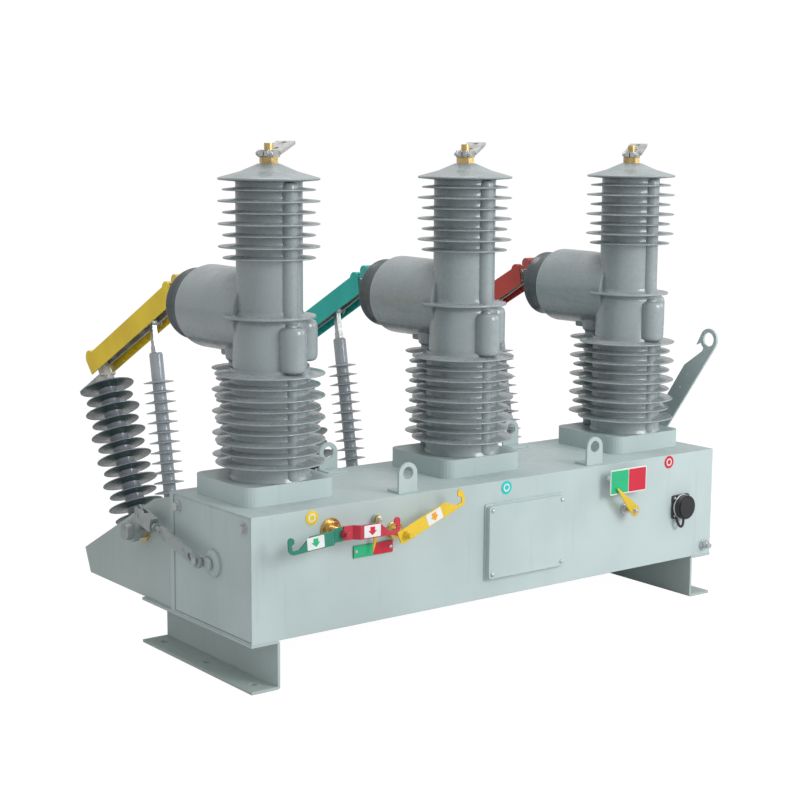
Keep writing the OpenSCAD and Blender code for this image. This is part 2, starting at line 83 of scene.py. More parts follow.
# %% Camera
yaw, pitch, roll = 0.64872, 0.15137, 0.0061
ahead = np.array([math.sin(yaw) * math.cos(pitch), math.cos(yaw) * math.cos(pitch), -math.sin(pitch)])
side = np.array([math.cos(yaw), -math.sin(yaw), 0.0])
over = np.cross(side, ahead)
side_r = math.cos(roll) * side + math.sin(roll) * over
over_r = -math.sin(roll) * side + math.cos(roll) * over
eye = np.array([-2.4072, -3.0084, 1.1068])
pose = np.eye(4)
pose[:3, 0] = side_r
pose[:3, 1] = over_r
pose[:3, 2] = -ahead
pose[:3, 3] = eye
lens = bpy.data.cameras.new("camera")
lens.sensor_width = 36.0
lens.lens = 74.83
lens.clip_end = 60.0
camera = bpy.data.objects.new("camera", lens)
bpy.context.scene.collection.objects.link(camera)
camera.matrix_world = Matrix(pose.tolist())
bpy.context.scene.camera = camera
print("camera at", eye)

# %% [markdown]
# ## Shader maths as plain expressions
# A material is a graph of nodes, and drawing it by hand is slow to read.
# This small class wraps a socket, so that `1 - mask * 0.3` adds the Math nodes by itself.
# `Finish` holds a material: constants go straight on the Principled sockets, and varying things are linked.

# %% Socket and finish helpers
class Sock:
    """A socket's value that can be used in sums and products."""

    def __init__(self, finish, output):
        self.finish = finish
        self.output = output

    def calc(self, operation, a, b=0.0):
        return self.finish.node("ShaderNodeMath", {"operation": operation}, {0: a, 1: b})

    def __add__(self, other):
        return self.calc("ADD", self, other)

    def __sub__(self, other):
        return self.calc("SUBTRACT", self, other)

    def __mul__(self, other):
        return self.calc("MULTIPLY", self, other)

    def __truediv__(self, other):
        return self.calc("DIVIDE", self, other)

    def __rsub__(self, other):
        return self.calc("SUBTRACT", other, self)

    def __gt__(self, other):
        return self.calc("GREATER_THAN", self, other)

    def __lt__(self, other):
        return self.calc("LESS_THAN", self, other)

    def __abs__(self):
        return self.calc("ABSOLUTE", self)

    __radd__ = __add__
    __rmul__ = __mul__


class Finish:
    """A material being built on a Principled shader."""

    def __init__(self, name, **constants):
        self.material = bpy.data.materials.new(name)
        self.material.use_nodes = True
        self.tree = self.material.node_tree
        self.shader = self.tree.nodes["Principled BSDF"]
        for socket, value in constants.items():
            self.shader.inputs[socket.replace("_", " ")].default_value = value
        self.place = self.node("ShaderNodeTexCoord", {}, {}, "Object")

    def node(self, kind, settings, inputs, output=0):
        """Adds one node: settings first, then values or links on its sockets."""
        made = self.tree.nodes.new(kind)
        for key, value in settings.items():
            setattr(made, key, value)
        for key, value in inputs.items():
            if isinstance(value, Sock):
                self.tree.links.new(value.output, made.inputs[key])
            else:
                made.inputs[key].default_value = value
        return Sock(self, made.outputs[output])

    def feed(self, socket, value):
        self.tree.links.new(value.output, self.shader.inputs[socket])
        return self

    def noise(self, scale, detail=3.0, stretch=(1, 1, 1)):
        spot = self.node("ShaderNodeMapping", {}, {"Vector": self.place, "Scale": stretch})
        return self.node("ShaderNodeTexNoise", {}, {"Vector": spot, "Scale": scale, "Detail": detail}, "Fac")

    def axis(self, letter):
        return self.node("ShaderNodeSeparateXYZ", {}, {0: self.place}, "XYZ".index(letter))

    def ramp(self, value, low, high, start=0.0, end=1.0):
        """Follows value from start to end as it goes from low to high, and stops there."""
        spread = {"Value": value, "From Min": low, "From Max": high, "To Min": start, "To Max": end}
        return self.node("ShaderNodeMapRange", {"interpolation_type": "SMOOTHSTEP"}, spread)

    def mix(self, factor, a, b):
        """Mixes two colours."""
        three = [c if isinstance(c, Sock) else (*c, 1.0) for c in (a, b)]
        return self.node("ShaderNodeMix", {"data_type": "RGBA"}, {0: factor, 6: three[0], 7: three[1]}, 2)

    def soft_edge(self, radius):
        """The normal as if edges were rounded by radius."""
        return self.node("ShaderNodeBevel", {"samples": 4}, {"Radius": radius})

    def edges(self, radius):
        """1 near sharp outer edges and corners, 0 on the flats."""
        true = self.node("ShaderNodeNewGeometry", {}, {}, "Normal")
        dot = self.node("ShaderNodeVectorMath", {"operation": "DOT_PRODUCT"}, {0: true, 1: self.soft_edge(radius)}, "Value")
        return self.ramp(dot, 0.98, 0.80)

    def upward(self):
        """1 where the surface faces up."""
        true = self.node("ShaderNodeNewGeometry", {}, {}, "Normal")
        return self.ramp(self.node("ShaderNodeSeparateXYZ", {}, {0: true}, 2), 0.2, 0.9)

    def bump(self, height, distance, strength=0.5, normal=None):
        inputs = {"Height": height, "Distance": distance, "Strength": strength}
        if normal:
            inputs["Normal"] = normal
        return self.feed("Normal", self.node("ShaderNodeBump", {}, inputs))


def paint_nodes(finish, *names):
    """Puts a finish on CAD nodes, through their material slots."""
    for name in names:
        for place in nodes[name].material_slots:
            place.link = "OBJECT"
            place.material = finish.material


print("helpers ready")

# %% [markdown]
# ## Powder-coated steel
# The housing, feet, plinths and rear deck are sheet steel under a pale grey-green powder coat.
# Powder coat has a fine orange peel, cloudy tone, a little rain dirt on faces that look up, and paler worn folds.

# %% Housing paint
def coated(name, colour, dirt=0.25):
    f = Finish(name, Roughness=0.42, Specular_IOR_Level=0.45)
    cloud = f.noise(3.0, 4.0)
    speck = f.noise(260.0, 2.0)
    runs = f.noise(9.0, 3.0, (6, 6, 0.5))
    light = tuple(c * 1.06 for c in colour)
    dark = tuple(c * 0.90 for c in colour)
    base = f.mix(f.ramp(cloud, 0.3, 0.7), dark, light)
    base = f.mix(f.ramp(runs, 0.58, 0.78) * 0.25, base, tuple(c * 0.80 for c in colour))
    base = f.mix(f.upward() * f.ramp(cloud, 0.35, 0.75) * dirt, base, (0.36, 0.35, 0.31))
    worn = f.edges(0.0025) * f.ramp(f.noise(45.0, 5.0), 0.42, 0.62)
    base = f.mix(worn * 0.5, base, tuple(min(1.0, c * 1.25) for c in colour))
    base = f.mix(f.ramp(speck, 0.62, 0.75) * 0.12, base, dark)
    f.feed("Base Color", base)
    f.feed("Roughness", f.ramp(runs, 0.3, 0.8, 0.36, 0.55))
    f.bump(f.noise(420.0, 2.0), 0.0006, 0.22, f.soft_edge(0.0018))
    return f


housing_paint = coated("housing_paint", (0.50, 0.60, 0.60))
frame_paint = coated("frame_paint", (0.46, 0.55, 0.54), 0.35)
paint_nodes(housing_paint, "housing", "end_plates", "cover_panel", "plinths", "lifting_lugs", "pull_lever")
paint_nodes(frame_paint, "feet", "bracket_sides", "rear_deck", "interlock_hub")
print("coated steel on", 10, "nodes")

# %% [markdown]
# ## Metals
# Zinc plating is a soft bluish grey with cloudy crystals. Brass darkens in patches. Tinned copper is whiter.
# One recipe with a colour, a stain colour and a roughness gives all of them, so that they differ as real ones do.

# %% Metal finishes
def metal(name, colour, stain, rough=0.34, metallic=0.9, grain=160.0):
    f = Finish(name, Metallic=metallic)
    cloud = f.noise(35.0, 4.0)
    base = f.mix(f.ramp(cloud, 0.45, 0.72) * 0.7, colour, stain)
    base = f.mix(f.edges(0.0012) * 0.5, base, tuple(min(1.0, c * 1.25) for c in colour))
    f.feed("Base Color", base)
    f.feed("Roughness", f.ramp(f.noise(grain, 3.0), 0.3, 0.7, rough - 0.07, rough + 0.12))
    f.bump(f.noise(grain * 3.0, 2.0), 0.0003, 0.25, f.soft_edge(0.0008))
    return f


zinc = metal("zinc", (0.62, 0.64, 0.65), (0.42, 0.43, 0.44))
brass = metal("brass", (0.72, 0.52, 0.22), (0.40, 0.28, 0.12), 0.30)
tinned = metal("tinned", (0.60, 0.61, 0.59), (0.38, 0.38, 0.36), 0.42, 0.75)
arm_steel = metal("arm_steel", (0.44, 0.49, 0.49), (0.30, 0.33, 0.33), 0.45, 0.6)
paint_nodes(zinc, "ground_bolt", "end_bolts", "rod_ends_a", "rod_ends_b", "rod_ends_c", "pointer_bushes")
paint_nodes(brass, "top_studs", "trip_shaft", "charge_shaft", "shaft_bushes", "front_bosses")
paint_nodes(tinned, "top_pads", "post_contacts", "blade_a", "blade_b", "blade_c")
paint_nodes(arm_steel, "isolator_shaft", "link_bar", "hinge_mounts", "post_feet")
print("metals ready")

# %% [markdown]
# ## Cast and moulded parts
# The poles are cast resin: mid grey, glossy, with faint flow clouds and dust on the upper sides of the sheds.
# The posts have a violet-grey core. Every resin part has painted shade: its undersides are painted a darker colour,
# greener on the posts.

# %% Resin finishes
def cast(name, colour, underside_shade, dust=(0.52, 0.53, 0.52), rough=0.24, axis=(0.0, 0.0, 1.0)):
    f = Finish(name, Coat_Roughness=0.10, Coat_Weight=0.5, Specular_IOR_Level=0.5)
    cloud = f.noise(7.0, 5.0)
    base = f.mix(f.ramp(cloud, 0.3, 0.7), tuple(c * 0.93 for c in colour), tuple(c * 1.05 for c in colour))
    true = f.node("ShaderNodeNewGeometry", {}, {}, "Normal")
    lift = f.node("ShaderNodeVectorMath", {"operation": "DOT_PRODUCT"}, {0: true, 1: axis}, "Value")
    # Painted shade: faces turned down along the axis get the darker underside colour.
    base = f.mix(f.ramp(lift, -0.35, -0.75), base, underside_shade)
    base = f.mix(f.ramp(lift, 0.35, 0.95) * f.ramp(f.noise(22.0, 4.0), 0.3, 0.65) * 0.35, base, dust)
    f.feed("Base Color", base)
    f.feed("Roughness", f.ramp(f.noise(60.0, 4.0), 0.3, 0.7, rough - 0.05, rough + 0.14))
    f.bump(f.noise(240.0, 2.0), 0.0004, 0.12)
    return f


resin = cast("resin", (0.33, 0.385, 0.40), (0.21, 0.25, 0.26))
dark_resin = cast("dark_resin", (0.075, 0.095, 0.105), (0.06, 0.075, 0.08), (0.2, 0.2, 0.2), 0.30)
post_resin = cast("post_resin", (0.25, 0.27, 0.32), (0.030, 0.075, 0.064), (0.30, 0.33, 0.36), 0.30, (0.0, math.sin(SLOPE), math.cos(SLOPE)))
rod_resin = cast("rod_resin", (0.43, 0.48, 0.52), (0.22, 0.25, 0.27))
paint_nodes(resin, "pole_bodies", "pole_tops")
paint_nodes(dark_resin, "outlet_ends")
paint_nodes(post_resin, "post_insulators")
paint_nodes(rod_resin, "rod_a", "rod_b", "rod_c")
print("resins ready")


# %% [markdown]
# ## Plastics and enamels
# The blade covers are moulded in a colour for each phase. The handle plates are enamelled steel.

# %% Plastic and enamel finishes
def moulded(name, colour, rough=0.38, chip=0.0):
    f = Finish(name, Specular_IOR_Level=0.5)
    cloud = f.noise(12.0, 4.0)
    base = f.mix(f.ramp(cloud, 0.3, 0.7), tuple(c * 0.88 for c in colour), tuple(min(1.0, c * 1.06) for c in colour))
    base = f.mix(f.upward() * f.ramp(f.noise(30.0, 4.0), 0.45, 0.7) * 0.2, base, (0.5, 0.48, 0.44))
    if chip:
        bare = f.edges(0.0015) * f.ramp(f.noise(110.0, 4.0), 0.5, 0.6)
        base = f.mix(bare * chip, base, (0.45, 0.45, 0.44))
    f.feed("Base Color", base)
    f.feed("Roughness", f.ramp(f.noise(90.0, 3.0), 0.3, 0.7, rough - 0.06, rough + 0.12))
    f.bump(f.noise(380.0, 2.0), 0.0004, 0.15, f.soft_edge(0.0012))
    return f


cover_finish = {
    "a": moulded("yellow_cover", (1.0, 0.70, 0.02)),
    "b": moulded("green_cover", (0.008, 0.56, 0.50)),
    "c": moulded("red_cover", (0.60, 0.06, 0.045)),
}
green_paint = moulded("green_paint", (0.02, 0.24, 0.16), 0.33, 0.6)
red_paint = moulded("red_paint", (0.58, 0.03, 0.06), 0.33, 0.6)
yellow_paint = moulded("yellow_paint", (0.80, 0.55, 0.03), 0.33, 0.6)
cream_paint = moulded("white_paint", (0.84, 0.86, 0.85), 0.4, 0.3)
black_plastic = moulded("black_plastic", (0.018, 0.018, 0.020), 0.45)
socket_metal = moulded("socket_metal", (0.05, 0.052, 0.055), 0.4)
for phase in PHASES:
    paint_nodes(cover_finish[phase], "cover_" + phase)
hump = moulded("hinge_cover_paint", (1.0, 0.70, 0.02))
across = hump.axis("X")
tone = hump.mix(across > -0.26, (1.0, 0.68, 0.02), (0.008, 0.54, 0.48))
tone = hump.mix(across > 0.26, tone, (0.58, 0.058, 0.043))
hump.feed("Base Color", hump.mix(hump.ramp(hump.noise(14.0, 4.0), 0.3, 0.7) * 0.2, tone, (0.3, 0.28, 0.25)))
paint_nodes(hump, "hinge_covers")
paint_nodes(green_paint, "trip_green")
paint_nodes(red_paint, "trip_red")
paint_nodes(yellow_paint, "charge_handle", "charge_pointer")
paint_nodes(cream_paint, "position_plate")
paint_nodes(yellow_paint, "position_pointer")
paint_nodes(green_paint, "charge_plate")
paint_nodes(black_plastic, "socket_cap")
paint_nodes(socket_metal, "control_socket")
print("plastics ready")

# %% [markdown]
# ## Surfaces from formulas
# A turned part is one profile carried round an axis, so its points are an array of radius, height and angle.
# `Shell` collects such grids as one mesh. Equal points are merged, so seams and poles are closed.
# Corners of a profile are rounded before turning, because a moulded edge is never sharp.

# %% Surface helpers
def soften(profile, reach=2.0, steps=3):
    """Rounds a profile: each inner corner becomes a parabola that starts and stops `reach` away from it."""
    p = np.asarray(profile, float)
    before = p[:-2] - p[1:-1]
    after = p[2:] - p[1:-1]
    near = np.linalg.norm(before, axis=1, keepdims=True)
    far = np.linalg.norm(after, axis=1, keepdims=True)
    start = p[1:-1] + before * np.minimum(reach / near, 0.45)
    stop = p[1:-1] + after * np.minimum(reach / far, 0.45)
    t = np.linspace(0.0, 1.0, steps)[None, :, None]
    curve = (1 - t) ** 2 * start[:, None] + 2 * t * (1 - t) * p[1:-1][:, None] + t**2 * stop[:, None]
    return np.vstack([p[:1], curve.reshape(-1, 2), p[-1:]])


def turned(profile, count=80):
    """Points at radius r and height z: (r cos a, r sin a, z), with a going once round."""
    a = np.linspace(0.0, 2 * np.pi, count, endpoint=False)
    r = profile[:, :1]
    z = profile[:, 1:] + 0 * a
    return np.stack([r * np.cos(a), r * np.sin(a), z], -1)


def basis(along):
    """Three unit rows: two square to `along`, then `along` itself."""
    w = np.array(along, float) / np.linalg.norm(along)
    u = np.cross([0.0, 1.0, 0.0] if abs(w[1]) < 0.9 else [1.0, 0.0, 0.0], w)
    u /= np.linalg.norm(u)
    return np.array([u, np.cross(w, u), w])


def leaned(angle):
    """A frame turned back about X: its third row leans towards +Y by the angle."""
    c, s = math.cos(angle), math.sin(angle)
    return np.array([[1.0, 0.0, 0.0], [0.0, c, -s], [0.0, s, c]])


class Shell:
    """Grids and flat outlines collected as one closed mesh, in millimetres until it is made."""

    def __init__(self):
        self.points = []
        self.faces = []
        self.count = 0

    def grid(self, points, origin=(0, 0, 0), axes=np.eye(3)):
        rows, columns = points.shape[:2]
        i, j = np.meshgrid(np.arange(rows - 1), np.arange(columns), indexing="ij")
        k = (j + 1) % columns
        quads = np.stack([i * columns + j, i * columns + k, (i + 1) * columns + k, (i + 1) * columns + j], -1)
        self.faces += (quads.reshape(-1, 4) + self.count).tolist()
        self.points.append(points.reshape(-1, 3) @ axes + np.asarray(origin, float))
        self.count += rows * columns
        return self

    def slab(self, outline, thick, origin=(0, 0, 0), axes=np.eye(3), edge=0.3):
        """A flat outline with thickness: rings at four heights, the first and last drawn in by `edge`."""
        o = np.asarray(outline, float)
        side = np.roll(o, -1, 0) - np.roll(o, 1, 0)
        inward = np.stack([-side[:, 1], side[:, 0]], 1) / np.linalg.norm(side, axis=1, keepdims=True)
        heights = [0.0, edge, thick - edge, thick]
        rings = [np.column_stack([o + inward * (edge if h in (0.0, thick) else 0.0), np.full(len(o), h)]) for h in heights]
        first = self.count
        self.grid(np.stack(rings), origin, axes)
        n = len(o)
        self.faces.append(list(range(first + n - 1, first - 1, -1)))
        self.faces.append(list(range(first + 3 * n, first + 4 * n)))
        return self

    def make(self, name, finish, body, *stands_for):
        mesh = bpy.data.meshes.new(name)
        mesh.from_pydata((np.vstack(self.points) * MM).tolist(), [], self.faces)
        work = bmesh.new()
        work.from_mesh(mesh)
        bmesh.ops.remove_doubles(work, verts=work.verts, dist=2e-6)
        bmesh.ops.recalc_face_normals(work, faces=work.faces)
        work.to_mesh(mesh)
        work.free()
        mesh.polygons.foreach_set("use_smooth", np.ones(len(mesh.polygons), bool))
        mesh.set_sharp_from_angle(angle=math.radians(38))
        mesh.materials.append(finish.material)
        thing = bpy.data.objects.new(name, mesh)
        bpy.context.scene.collection.objects.link(thing)
        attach(thing, body)
        if stands_for:
            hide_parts(*stands_for)
        print(name, len(mesh.polygons), "faces")
        return thing


def sheds(start, pitch, radii, core, up, down, thick):
    """Profile of a row of sheds: six points each, from the core out to the lip and back."""
    z = start + pitch * np.arange(len(radii))[:, None]
    r = np.asarray(radii, float)[:, None]
    c = core + 0 * r
    radius = np.hstack([c, r - 1.5, r, r, r - 1.5, c])
    height = np.hstack([z - down, z - thick / 2, z - thick / 4, z + thick / 4, z + thick / 2, z + up])
    return np.stack([radius, height], -1).reshape(-1, 2)


# %% [markdown]
# ## The three poles
# Each pole is one casting: nine sheds below, a smooth body with a round flange, seven sheds and a wide cap above.
# A slimmer column stands behind it, two rounded housings swell out of the body, and the outlet barrel points back.
# Sheds take turns between a wide and a narrow one, which keeps rain from bridging them.

# %% Poles
Z0, ZM, ZC, ZN = plinth_z / MM, mid_z / MM, cap_z / MM, nut_z / MM
PY = pole_y / MM
low_sheds = sheds(Z0 + 34, 23.5, [117, 107] * 4 + [117], 84, 6, 3, 3.6)
top_sheds = sheds(ZC - 163.5, 23.5, [97.5, 107] * 3 + [97.5], 70, 5, 3, 3.6)
column = np.vstack([
    [[0, Z0], [88, Z0], [84, Z0 + 8]], low_sheds,
    [[84, Z0 + 236], [79, ZM - 112], [77, ZM - 14], [73, ZM - 4], [97.6, ZM - 2.6], [98.3, ZM], [97.6, ZM + 2.6]],
    [[73, ZM + 4], [70, ZM + 12]], top_sheds,
    [[70, ZC - 6], [105, ZC - 3], [107, ZC - 1], [107, ZC + 1], [105, ZC + 2.5], [60, ZC + 15], [23, ZN], [0, ZN]],
])
rear_sheds = sheds(Z0 + 35.2, 23.5, [72, 63] * 4 + [72], 35, 6, 3, 3.6)
rear = np.vstack([[[0, Z0], [35, Z0]], rear_sheds, [[35, Z0 + 238], [41, ZM - 100], [46, ZM - 47], [0, ZM - 47]]])
barrel = soften([[0, 0], [84, 0], [86, 40], [91, 120], [92, 220], [91.4, 225], [88, 227], [0, 227]], 3.0, 4)


def bulge(radius, height):
    """A round-ended upright housing: a short cylinder whose rims are rounded over."""
    return soften([[0, 0], [radius * 0.8, 0], [radius, 9], [radius, height - 9], [radius * 0.8, height], [0, height]], 9.0, 6)


for x, phase in zip(POLES, PHASES):
    at = x / MM
    pole = Shell()
    pole.grid(turned(soften(column, 1.8)), (at, PY, 0))
    pole.grid(turned(soften(rear, 2.4), 56), (at, PY + 100, 0))
    pole.grid(turned(barrel), (at, PY + 15, barrel_z / MM), basis((0, 1, 0)))
    pole.grid(turned(bulge(14, 330), 32), (at + 2, PY - 78, Z0 + 2))
    pole.grid(turned(bulge(18, ZC - ZM + 14), 40), (at + 6, PY - 66, ZM - 20))
    pole.grid(turned(bulge(29, 97), 48), (at + 4, PY - 80, ZM - 114))
    pole.grid(turned(bulge(29, 88), 48), (at + 84, PY - 4, ZM - 100))
    pole.slab([[-20, -47], [20, -47], [20, 48], [-20, 48]], 40, (at, PY + 117, barrel_z / MM - 100), np.eye(3), 3.0)
    pole.make("pole_" + phase, resin, "base", "pole_bodies", "pole_tops")

# %% [markdown]
# ## Outlet ends, posts and pull rods
# The outlet ends are darker plates with a groove. The post stands square to the closed blade.
# Each pull rod is a slim insulator with thin, close sheds, and leans between its two pins.

# %% Outlet ends
mouth = soften([[0, 0], [78, 0], [78, 4], [86, 4.5], [87, 6.5], [86, 8.5], [77, 9], [77, 13], [74, 14], [74, 24],
                [76, 40], [80, 52], [81, 56], [79, 58], [60, 57], [0, 58]], 1.6, 4)
for x, phase in zip(POLES, PHASES):
    Shell().grid(turned(mouth), (x / MM, barrel_y / MM, barrel_z / MM), basis((0, 1, 0))).make("outlet_" + phase, dark_resin, "base", "outlet_ends")

# %% Posts and pull rods
tilt = leaned(SLOPE)
H = hinge / MM
post = np.vstack([[[0, -421], [24, -421]], sheds(-402.8, 30.6, [58, 67] * 6, 23.5, 9, 5, 4), [[23.5, -54], [0, -54]]])
low_pin = shaft / MM + np.array([0.0, 140.0, 0.0]) @ tilt + np.array([0.0, 0.0, -12.0]) @ tilt
rod = np.vstack([[[0, 92], [15, 92]], sheds(118, 23.6, [36] * 12, 15, 5, 3, 2.4), [[15, 384], [15.7, 386], [15.7, 444], [13, 448], [0, 448]]])
for x, phase in zip(POLES, PHASES):
    foot = H + np.array([x / MM, 0.0, 0.0]) + np.array([0.0, 435.0, 0.0]) @ tilt
    Shell().grid(turned(soften(post, 2.0), 64), foot, tilt).make("post_" + phase, post_resin, "base", "post_insulators")
    pin = low_pin + np.array([x / MM, 0.0, 0.0])
    Shell().grid(turned(soften(rod, 1.2), 48), pin, leaned(math.atan2(91, 512))).make("rod_body_" + phase, rod_resin, "pull_rod_" + phase, "rod_" + phase)

# %% [markdown]
# ## Bolts, screws and washers
# A hexagon head is a radius that depends on the angle, cut off by a cone at its rims, so one formula gives the chamfer too.
# Screws are low domes with a rim. They ride on the body that they hold.

# %% Fastener shapes
def hexagon(flat, height, count=48):
    """Radius is half the flat over the cosine of the angle to the nearest flat, and at both rims at most 1.03 half flats."""
    a = np.linspace(0.0, 2 * np.pi, count, endpoint=False)
    ring = flat / 2 / np.cos((a + np.pi / 6) % (np.pi / 3) - np.pi / 6)
    limit = np.array([0.0, 1.03, 1.16, 1.16, 1.03, 0.0])[:, None] * flat / 2
    r = np.minimum(ring[None, :], limit)
    z = np.array([0.0, 0.0, 0.12, 0.88, 1.0, 1.0])[:, None] * height + 0 * a
    return np.stack([r * np.cos(a), r * np.sin(a), z], -1)


def washer(radius, thick):
    return turned(soften([[0, 0], [radius, 0], [radius, thick], [0, thick]], 0.5), 36)


def stub(radius, length):
    return turned(soften([[0, 0], [radius, 0], [radius, length - 1], [radius - 1, length], [0, length]], 0.6), 28)


def bolt(shell, at, along, flat, end=6.0):
    """A washer, a hexagon and the end of a threaded shank on one axis."""
    axes = basis(along)
    way = axes[2]
    base = np.asarray(at, float)
    shell.grid(washer(flat * 0.72, 1.6), base, axes)
    shell.grid(hexagon(flat, flat * 0.5), base + way * 1.6, axes)
    shell.grid(stub(flat * 0.32, end), base + way * (1.6 + flat * 0.5), axes)


def screw(shell, at, along, radius):
    shell.grid(turned(soften([[0, 0], [radius, 0], [radius, radius * 0.35], [radius * 0.6, radius * 0.7], [0, radius * 0.75]], 1.2, 5), 28), at, basis(along))


# %% Fixed fasteners
FRONT = (0, -1, 0)
F = front_y / MM
small = Shell()
for dx in (-104, 104):
    for dz in (-73, 73):
        screw(small, (54 + dx, F - 14, 233 + dz), FRONT, 5.0)
for dx in (-45, 45):
    screw(small, (-372.5 + dx, F - 3, 263), FRONT, 4.2)
for dx in (-22, 22):
    for dz in (-22, 22):
        screw(small, (562 + dx, F - 5, 238 + dz), FRONT, 3.6)
for x in POLES:
    seat = H + np.array([x / MM, 0.0, 0.0])
    for s in (-45, 45):
        bolt(small, seat + np.array([s, 435.0, -441.0]) @ tilt, tilt[2], 19)
    for a in range(4):
        screw(small, (x / MM + 22 * math.cos(a * math.pi / 2 + 0.785), 236, barrel_z / MM + 22 * math.sin(a * math.pi / 2 + 0.785)), (0, 1, 0), 3.8)
    turn = math.radians(35)
    clamp = np.array([-23 * math.cos(turn), -23 * math.sin(turn), 0.0])
    side_way = np.array([math.sin(turn), -math.cos(turn), 0.0])
    for s in (-1, 1):
        bolt(small, np.array([x / MM, PY, ZN + 20.5]) + clamp + side_way * 9 * s, side_way * s, 11, 3)
small.make("small_fasteners", zinc, "base")

# %% [markdown]
# ## Signs and labels
# The real housing carries printed signs. Here they hold only plain colour fields, arrows and round phase marks.
# Each is a thin slab that stands a little proud of what it is stuck on.

# %% Label finishes
def printed(name, colour):
    f = Finish(name, Specular_IOR_Level=0.4)
    f.feed("Base Color", f.mix(f.ramp(f.noise(40.0, 4.0), 0.35, 0.7), tuple(c * 0.92 for c in colour), colour))
    f.feed("Roughness", f.ramp(f.noise(120.0, 2.0), 0.3, 0.7, 0.28, 0.42))
    f.bump(f.noise(300.0, 2.0), 0.0002, 0.1)
    return f


ink = {
    "white": printed("label_white", (0.86, 0.87, 0.86)),
    "green": printed("label_green", (0.02, 0.50, 0.22)),
    "red": printed("label_red", (0.66, 0.02, 0.05)),
    "orange": printed("label_orange", (0.90, 0.38, 0.03)),
    "yellow": printed("label_yellow", (0.92, 0.66, 0.03)),
    "cyan": printed("label_cyan", (0.02, 0.60, 0.58)),
}


def oblong(w, h, r=1.5):
    """A rectangle with round corners, as an outline of points."""
    a = np.linspace(0, np.pi / 2, 5)
    corner = np.stack([np.cos(a), np.sin(a)], 1) * r
    turns = [(1, 1, 0), (-1, 1, 1), (-1, -1, 2), (1, -1, 3)]
    parts = [np.array([sx * (w / 2 - r), sy * (h / 2 - r)]) + corner @ np.linalg.matrix_power(np.array([[0, 1], [-1, 0]]), k) for sx, sy, k in turns]
    return np.vstack(parts)


def facing(angle=0.0):
    """A frame on the front face: X along the label, Y up it, Z towards the operator."""
    c, s = math.cos(angle), math.sin(angle)
    return np.array([[c, 0.0, s], [-s, 0.0, c], [0.0, -1.0, 0.0]])


ARROW = np.array([[-6, 9], [-6, 1], [-11, 1], [0, -9], [11, 1], [6, 1], [6, 9]])[::-1]

# %% Signs
for number, (x, z, tone) in enumerate([(-527.8, 350.4, "yellow"), (-0.6, 351.1, "cyan"), (520.0, 351.7, "red")]):
    disc = Shell()
    disc.grid(washer(15.5, 0.8), (x, F, z), facing())
    disc.make("phase_mark_" + PHASES[number], ink[tone], "base")
    dot = Shell()
    dot.grid(turned(np.array([[6.0, 0.7], [6.0, 1.1], [9.0, 1.1], [9.0, 0.7], [6.0, 0.7]]), 40), (x, F, z), facing())
    dot.make("phase_ring_" + PHASES[number], ink["white"], "base")
for tone, x0, x1 in [("green", 299.5, 355.0), ("red", 357.0, 412.5)]:
    Shell().slab(oblong(x1 - x0, 54), 0.6, ((x0 + x1) / 2, F - 28, 330), facing(), 0.1).make("position_field_" + tone, ink[tone], "base")
Shell().slab(oblong(50.5, 25), 0.4, (-346.6, F - 3, 263), facing(), 0.1).make("charge_field_red", ink["red"], "base")
Shell().slab(oblong(50.5, 25), 0.4, (-398.4, F - 3, 263), facing(), 0.1).make("charge_field_green", ink["green"], "base")
for name, body, x, z, depth, along, angle, tone in [
    ("trip_green", "trip_lever", -481.5, 320.0, 61, -78, 4.1, "green"),
    ("trip_red", "trip_lever", -481.5, 320.0, 61, 64, -0.4, "red"),
    ("charge", "charging_lever", -319.0, 296.0, 49, 80, 21.4, "orange"),
]:
    axes = facing(math.radians(angle))
    centre = np.array([x, F - depth, z]) + axes[0] * along
    Shell().slab(oblong(42, 26), 0.5, centre, axes, 0.1).make(name + "_label", ink["white"], body)
    Shell().slab(ARROW, 0.3, centre + axes[2] * 0.4, axes, 0.05).make(name + "_arrow", ink[tone], body)

# %% [markdown]
# ## Pins, cotters and the socket's strap
# Washers close the ends of the blade pins. A cotter pin is a bent wire carried along a short path.

# %% Pins and washers that move
for x, phase in zip(POLES, PHASES):
    ends = Shell()
    mid = H + np.array([x / MM, 0.0, 0.0])
    for s in (-1, 1):
        for b, n in [(0, 0), (140, -12)]:
            ends.grid(washer(11.5, 2.4), mid + np.array([s * 17.2, b, n]) @ tilt, basis((s, 0, 0)))
            ends.grid(hexagon(15, 3.5), mid + np.array([s * 19.4, b, n]) @ tilt, basis((s, 0, 0)))
    ends.make("blade_pin_ends_" + phase, zinc, "blade_" + phase)


def wire(path, radius, count=10):
    """A tube: at each point of the path, a circle in the plane square to the path's direction."""
    p = np.asarray(path, float)
    ahead = np.gradient(p, axis=0)
    ahead /= np.linalg.norm(ahead, axis=1, keepdims=True)
    flat = np.cross(p[0] - p[-1] + [0.3, 0.5, 0.7], p[len(p) // 2] - p[0])
    flat /= np.linalg.norm(flat)
    first = np.cross(flat, ahead)
    first /= np.linalg.norm(first, axis=1, keepdims=True)
    second = np.cross(ahead, first)
    a = np.linspace(0, 2 * np.pi, count, endpoint=False)
    r = radius * np.minimum(1.0, np.minimum(np.arange(len(p)), np.arange(len(p))[::-1]))[:, None, None]
    return p[:, None] + r * (np.cos(a)[:, None] * first[:, None] + np.sin(a)[:, None] * second[:, None])


# %% Pointer screws
for body, x, z, depth in [("position_pointer", 374.0, 256.0, 35.0), ("charge_pointer", -366.0, 329.0, 16.0)]:
    cap = Shell()
    bolt(cap, (x, F - depth, z), FRONT, 10, 1.5)
    cap.make(body + "_screw", zinc, body)

